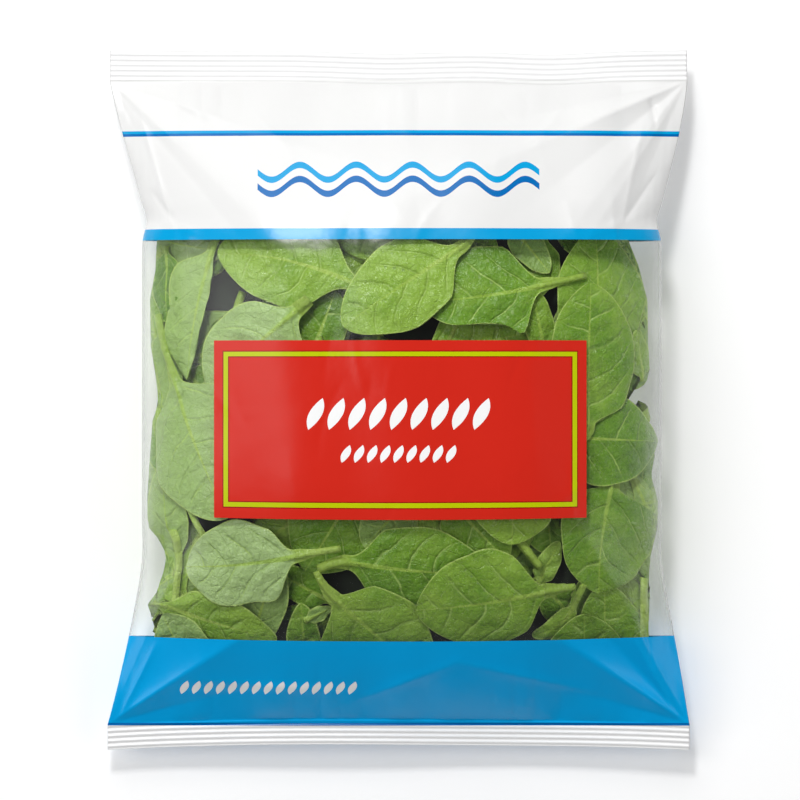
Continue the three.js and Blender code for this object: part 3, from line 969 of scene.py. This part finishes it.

# Leaves that lie against the film, from the top of the window to its foot: base, tip, width, stalk, depth,
# tone_and_light, wave and seed, and in what else each differs from a plain leaf. The tone is partly painted
# light and
# shade: darker for leaves in shade, paler for leaves in full light.
TOP_LEAVES = [
    leaf((23.5, 60), (-22, 29), 35, 9, 0.9, 0.86, 0.5, 0.11, bow=-0.5, bend=-2, flare=0.24),
    leaf((58, 46), (8.5, 39), 35, 19, 2.2, 0.32, 0.6, 0.35, bow=1, lean=-0.2, lobe=0.62, curl=2.4, puff=1.6,
         flare=0.27),
    leaf((75.4, -9.5), (77, 46.8), 40, 7, 1.0, 0.5, 0.3, 0.52, bend=4, lean=-0.14, flare=0.14),
    leaf((81.5, 14), (81, 71), 46, 4, 2.8, 0.5, 0.5, 0.71, lean=-0.18),
    leaf((-17, 46), (-73.4, 58.7), 39.5, 8, 2.4, 0.72, 0.4, 0.83, bow=-4, flare=0.36),
    leaf((-90.8, 8), (-68.5, -47.3), 41, 27.5, 1.4, 1.12, 0.5, 0.22, bow=-0.6, bend=1.4, under=1, thick=1.5,
         lean=-0.16, lobe=0.5, flare=0.17),
    leaf((-40.5, 35.8), (-77, 4.2), 37, 6.5, 1.7, 1.12, 0.5, 0.47, under=1, thick=1.6, puff=1.4, lobe=0.8,
         flare=0.24, widest=0.52),
    leaf((-75.2, 60), (-86, 7.5), 20, 6, 2.0, 1.0, 1.3, 0.64, bow=-1.5, under=1, puff=1.5, lean=-0.66,
         ruffle=0.07, widest=0.42),
    leaf((60, -14.5), (106.5, -16.6), 37, 6, 1.7, 0.34, 0.3, 0.91, pitch=-1),
    leaf((86.5, -34), (81.3, -78.5), 46.5, 5, 2.5, 0.42, 0.6, 0.14, bow=-1.5, lean=0.2, lobe=0.95, flare=0.12),
    leaf((58.1, -76.9), (6.9, -84), 39.5, 13, 0.9, 0.6, 0.5, 0.29, bow=1.1, bend=0.8, cup=-0.5, lean=-0.09),
    leaf((-19.3, -65.5), (37, -69.8), 37, 12, 2.2, 0.35, 0.6, 0.58, bow=-1.5, bend=-5, thick=1.6, flare=0.22),
    leaf((-25.2, -80.3), (12.6, -115.5), 39, 13.4, 1.6, 0.75, 0.7, 0.77, bend=3.3, other_lobe=0.35, flare=0.16),
    leaf((-41.6, -62.5), (-85.5, -66.2), 35, 19, 1.0, 1.35, 0.6, 0.40, bow=1.4, bend=0.5, cup=-0.4, puff=1.3,
         lobe=0.2, lean=-0.02, widest=0.5),
    leaf((-98.8, -81.7), (-48.8, -97), 22, 3, 1.6, 0.75, 0.8, 0.05, bow=-0.5, flare=0.3),
    leaf((-78, -120), (-95, -86), 27, 3, 0.9, 1.0, 0.8, 0.93, under=1),
    leaf((-62, -104), (-48, -64), 20, 4, 3.2, 0.95, 0.6, 0.68, under=1),
    leaf((84, -112), (84.5, -75), 32, 4, 3.4, 0.48, 0.5, 0.19, lean=-0.25),
    leaf((75, -124), (75, -87), 38, 4, 2.0, 0.46, 0.4, 0.87, lean=-0.1),
    leaf((99.2, -100), (99, -116), 9, 29, 1.9, 0.9, 0.5, 0.33, thick=1.8, under=1),
    leaf((71.3, -84), (54, -96.5), 9, 10, 3.0, 0.8, 0.6, 0.61, bow=3, thick=1.2),
    leaf((99.8, 8), (97.5, 28), 15, 1, 1.8, 0.7, 0.8, 0.26, thick=1.3),
    leaf((-91.5, -78), (-91.5, -110), 10, 24, 2.6, 0.85, 0.5, 0.44, thick=1.7, under=1),
    leaf((-79, -57), (-69, -80), 12, 18, 2.8, 0.9, 0.5, 0.73, thick=1.3, under=1),
    leaf((-92, -66), (-98, -24), 24, 3, 2.8, 0.95, 0.8, 0.16, under=1),
    leaf((-98, 30), (-94, -6), 18, 3, 3.4, 0.7, 0.6, 0.34, under=1),
    leaf((-99, -3), (-98, -30), 18, 3, 4.2, 0.35, 0.6, 0.59),
    leaf((-96, 60), (-95.5, 31), 19, 2, 2.5, 0.1, 0.6, 0.97),
    leaf((-98, 66), (-72, 60), 20, 2, 4.0, 1.0, 0.6, 0.50, under=1),
    leaf((-97.5, 31), (-97, 52), 17, 2, 3.6, 0.6, 0.8, 0.31),
    leaf((-34, 20), (-26, 44), 20, 2, 5.0, 0.2, 0.4, 0.81),
    leaf((-18, -38), (-38, -70), 38, 4, 4.6, 0.38, 0.5, 0.09),
    leaf((20, -40), (44, -66), 26, 4, 4.0, 0.5, 0.5, 0.85),
    leaf((4, -40), (-14, -60), 22, 4, 4.2, 0.75, 0.6, 0.55, under=1),
    leaf((46.5, -27), (45.5, -58.3), 35, 4, 2.4, 0.85, 0.4, 0.37),
    leaf((24, -34), (22, -54), 26, 4, 4.6, 0.62, 0.5, 0.66),
    leaf((49, -57.5), (33, -37), 16, 14, 4.2, 0.80, 0.5, 0.94, thick=1.5),
    leaf((57, -76), (66, -58), 10, 6, 5.0, 0.9, 0.5, 0.17, thick=1.4, puff=2),
    leaf((61, -40), (63, -64), 24, 4, 6.0, 0.3, 0.4, 0.43),
    leaf((-38, -112), (-39.5, -84), 14, 3, 4.0, 0.45, 0.6, 0.75),
    leaf((-37, -90.5), (-27, -85.5), 6, 1, 3.6, 0.8, 0.5, 0.24, thick=1.2, under=1),
    leaf((60, 68), (52, 40), 22, 6, 5.6, 0.4, 0.6, 0.63),
    leaf((46, 72), (62, 52), 14, 6, 4.4, 0.5, 0.6, 0.12, under=1),
    leaf((12, 19), (54, 27), 30, 6, 5.2, 0.7, 0.6, 0.21),
    leaf((60, -78), (78, -98), 18, 6, 5.4, 0.4, 0.6, 0.78),
    leaf((-28, -84), (-52, -70), 16, 6, 5.4, 0.3, 0.6, 0.88),
    leaf((60, 18), (54, 46), 13, 2, 3.8, 0.5, 0.4, 0.46),
]
mesh = leaves_mesh("window_leaves", TOP_LEAVES, stalk_rows=6, blade_rows=36, half_columns=10)
new_piece("window_leaves", mesh, leaf_green)


# The leaves deeper in the heap and round its sides and back. The same young leaves, poured in loose, so they
# lie any way round, one over another: their places are drawn at random from one seed.
FILL_SEED = 5
EVEN_STEP = 0.618034
HALF_BLADE = 25
BLADE_WIDTH = 33

# How far each number of a scattered leaf varies, in the order in which they are drawn.
VARIES = dict(
    bow=(-4, 4), bend=(-4, 4), pitch=(-0.8, 0.8), roll=(-0.7, 0.7), cup=(-0.8, 0.8), wave=(0.4, 1.0),
    under=(0, 1), tone_and_light=(0.15, 0.95), thick=(1.0, 1.5), widest=(0.42, 0.5), flare=(0.22, 0.34),
    lean=(-0.06, 0.06), seed=(0, 1))
UNDER_SHARE = 0.33

# Openings between the leaves that stay dark, where the heap core's painted shade shows: x, y and radius.
OPENINGS = ((-72, 46, 6), (-83, -40, 6), (-40, -84, 5), (-27, -71, 5), (62, -76, 6), (56, 56, 6), (58, 32, 5),
            (7, 27, 5))
OPEN_PLACES = np.array([(length_at(x, y), y, radius) for x, y, radius in OPENINGS])


def in_opening(start, end, width):
    """Whether a leaf would cover an opening: its middle line comes nearer than radius and part of its width."""
    line = start + (end - start) * np.linspace(0, 1, 9)[:, None]
    apart = np.hypot(line[:, None, 0] - OPEN_PLACES[:, 0], line[:, None, 1] - OPEN_PLACES[:, 1])
    return bool((apart < OPEN_PLACES[:, 2] + 0.3 * width).any())


def scattered_plans(rng, count, low, high, shallow, deep):
    """Leaves spread around the heap between two lengths, the first laid deep and the last shallow."""
    plans = []
    for i in range(count):
        a = low + (high - low) * ((i * EVEN_STEP + rng.uniform(-0.02, 0.02)) % 1)
        y = rng.uniform(-104, 78)
        turn = rng.uniform(0, 2 * math.pi)
        size = rng.uniform(0.75, 1.1)
        reach_out = np.array([math.cos(turn), math.sin(turn)]) * HALF_BLADE * size
        centre = np.array([a, y])
        start, end, width = centre - reach_out, centre + reach_out, BLADE_WIDTH * size * rng.uniform(0.85, 1.1)
        stalk = rng.uniform(5, 22)
        stalk_end = start[0] - math.cos(turn) * stalk
        if in_opening(start, end, width) or not low - 28 < stalk_end < high + 28:
            continue
        drawn = {name: rng.uniform(*ends) for name, ends in VARIES.items()}
        drawn["under"] = drawn["under"] < UNDER_SHARE
        depth = deep + (shallow - deep) * i / count
        drawn.update(start=start, end=end, width=width, stalk=stalk, depth=depth)
        plans.append({**PLAIN_LEAF, **drawn})
    return plans


fill_rng = np.random.default_rng(FILL_SEED)
inner_plans = scattered_plans(fill_rng, count=150, low=-125, high=125, shallow=4.3, deep=7.4)
mesh = leaves_mesh("inner_leaves", inner_plans, stalk_rows=3, blade_rows=14, half_columns=4)
new_piece("inner_leaves", mesh, leaf_green)
back_plans = scattered_plans(fill_rng, count=95, low=134, high=312, shallow=0.8, deep=7.4)
mesh = leaves_mesh("back_leaves", back_plans, stalk_rows=4, blade_rows=20, half_columns=6)
new_piece("back_leaves", mesh, leaf_green)


# The inside of the heap. Packed leaves let so little light through that no single one can be told apart there,
# so they are one lumpy mass, drawn in from the heap's outline and painted near black as painted shade.
CORE_WIDTH = 0.88
CORE_DEPTH = 0.42
CORE_COLUMNS = 140
CORE_ROWS = 70


def heap_core_mesh():
    """The heap's outline drawn in towards its middle plane, with round lumps, closed by a point at each end."""
    turn = np.linspace(-1, 1, CORE_COLUMNS + 1)[:-1]
    tt, yy = np.meshgrid(turn, np.linspace(-104, 84, CORE_ROWS))
    x, z, _ = heap_section(tt, yy)
    lumps = 1 + 0.05 * np.sin(tt * 34 + yy / 9) * np.sin(yy / 7 - tt * 19)
    x, middle = x * CORE_WIDTH * lumps, middle_height(x, yy)
    points = np.stack([x, yy, middle + (z - middle) * CORE_DEPTH * lumps], -1)[None]
    return new_mesh("heap_core", with_poles(points), closed_faces(points.shape[:3]))


def core_shade_finish():
    """Near-black matt green with blotches: painted shade for the heap's inside."""
    material, tree = new_finish("deep_leaf_shade")
    shade_and_blotch = noise(own_place(tree), 120.0, 2.0)
    # Near-black greens: painted shade for the leaves deep in the heap.
    colour = blend(shade_and_blotch, linear(6, 16, 4), linear(26, 48, 12))
    return finished(material, shader(tree, "Principled", {"Base Color": colour, "Roughness": 0.7}))


new_piece("heap_core", heap_core_mesh(), core_shade_finish())


# The floor, which isn't part of the bag. A plain sheet of white paper under it, with a little light of its own
# so that it stays as pale as a lit ground.
FLOOR_HALF = 6000
corners = [(x, y, 0) for x, y in ((-1, -1), (1, -1), (1, 1), (-1, 1))]
mesh = new_mesh("floor", np.array(corners) * FLOOR_HALF, [np.array([[0, 1, 2, 3]])])
floor = new_object("floor", mesh)
paper, tree = new_finish("white_paper")
mesh.materials.append(finished(paper, shader(tree, "Principled", {
    "Base Color": (0.9, 0.9, 0.9, 1), "Roughness": 0.9,
    "Emission Color": (1, 1, 1, 1), "Emission Strength": 0.18})))


# Soft studio light: a tall soft box on the left, a wide one beyond the top seal, a small key lamp that draws the
# shadows between the leaves, a strip low on each side for the film's gloss, a fill on the right, and an even
# white room. The fill lights the bag without showing in the film.
def soft_box(name, place, size, power):
    """A rectangular area light that points at the bag."""
    light = bpy.data.lights.new(name, "AREA")
    light.shape = "RECTANGLE"
    light.size, light.size_y = size
    light.energy = power
    lamp = new_object(name, light)
    lamp.location = place
    aim = -np.array(place)
    yaw = math.atan2(aim[1], aim[0])
    tilt = math.atan2(math.hypot(aim[0], aim[1]), -aim[2])
    lamp.rotation_euler = (tilt, 0, yaw - math.pi / 2)
    return lamp


soft_box("left_box", (-1.0, 0.3, 1.5), (0.75, 1.3), 9.5)
soft_box("top_box", (-0.3, 1.6, 1.05), (1.4, 0.8), 11)
soft_box("key_light", (-0.25, 1.2, 1.5), (0.3, 0.3), 17)
soft_box("left_strip", (-1.5, -0.6, 0.8), (0.35, 1.4), 5)
soft_box("right_strip", (1.5, -0.6, 0.8), (0.35, 1.4), 3)
soft_box("right_fill", (1.3, 0.0, 1.0), (0.8, 1.2), 4.5).visible_glossy = False
world = bpy.data.worlds.new("studio")
bpy.context.scene.world = world
world.use_nodes = True
world.node_tree.nodes["Background"].inputs["Color"].default_value = (1, 1, 1, 1)
world.node_tree.nodes["Background"].inputs["Strength"].default_value = 0.09

# The camera looks straight down on the lying bag, with the top seal up. A long lens from 3 m keeps its sides
# from leaning.
CAMERA_HEIGHT = 3.0
VIEW_HEIGHT = 0.022
VIEW_WIDTH = 0.320
VIEW_SHIFT = 0.0006
SENSOR_WIDTH = 36
camera = bpy.data.cameras.new("camera")
camera.sensor_width = SENSOR_WIDTH
camera.lens = SENSOR_WIDTH * (CAMERA_HEIGHT - VIEW_HEIGHT) / VIEW_WIDTH
camera.clip_end = 50
viewpoint = new_object("camera", camera)
viewpoint.location = (VIEW_SHIFT, 0.0, CAMERA_HEIGHT)
bpy.context.scene.camera = viewpoint
bpy.context.scene.view_settings.view_transform = "Standard"
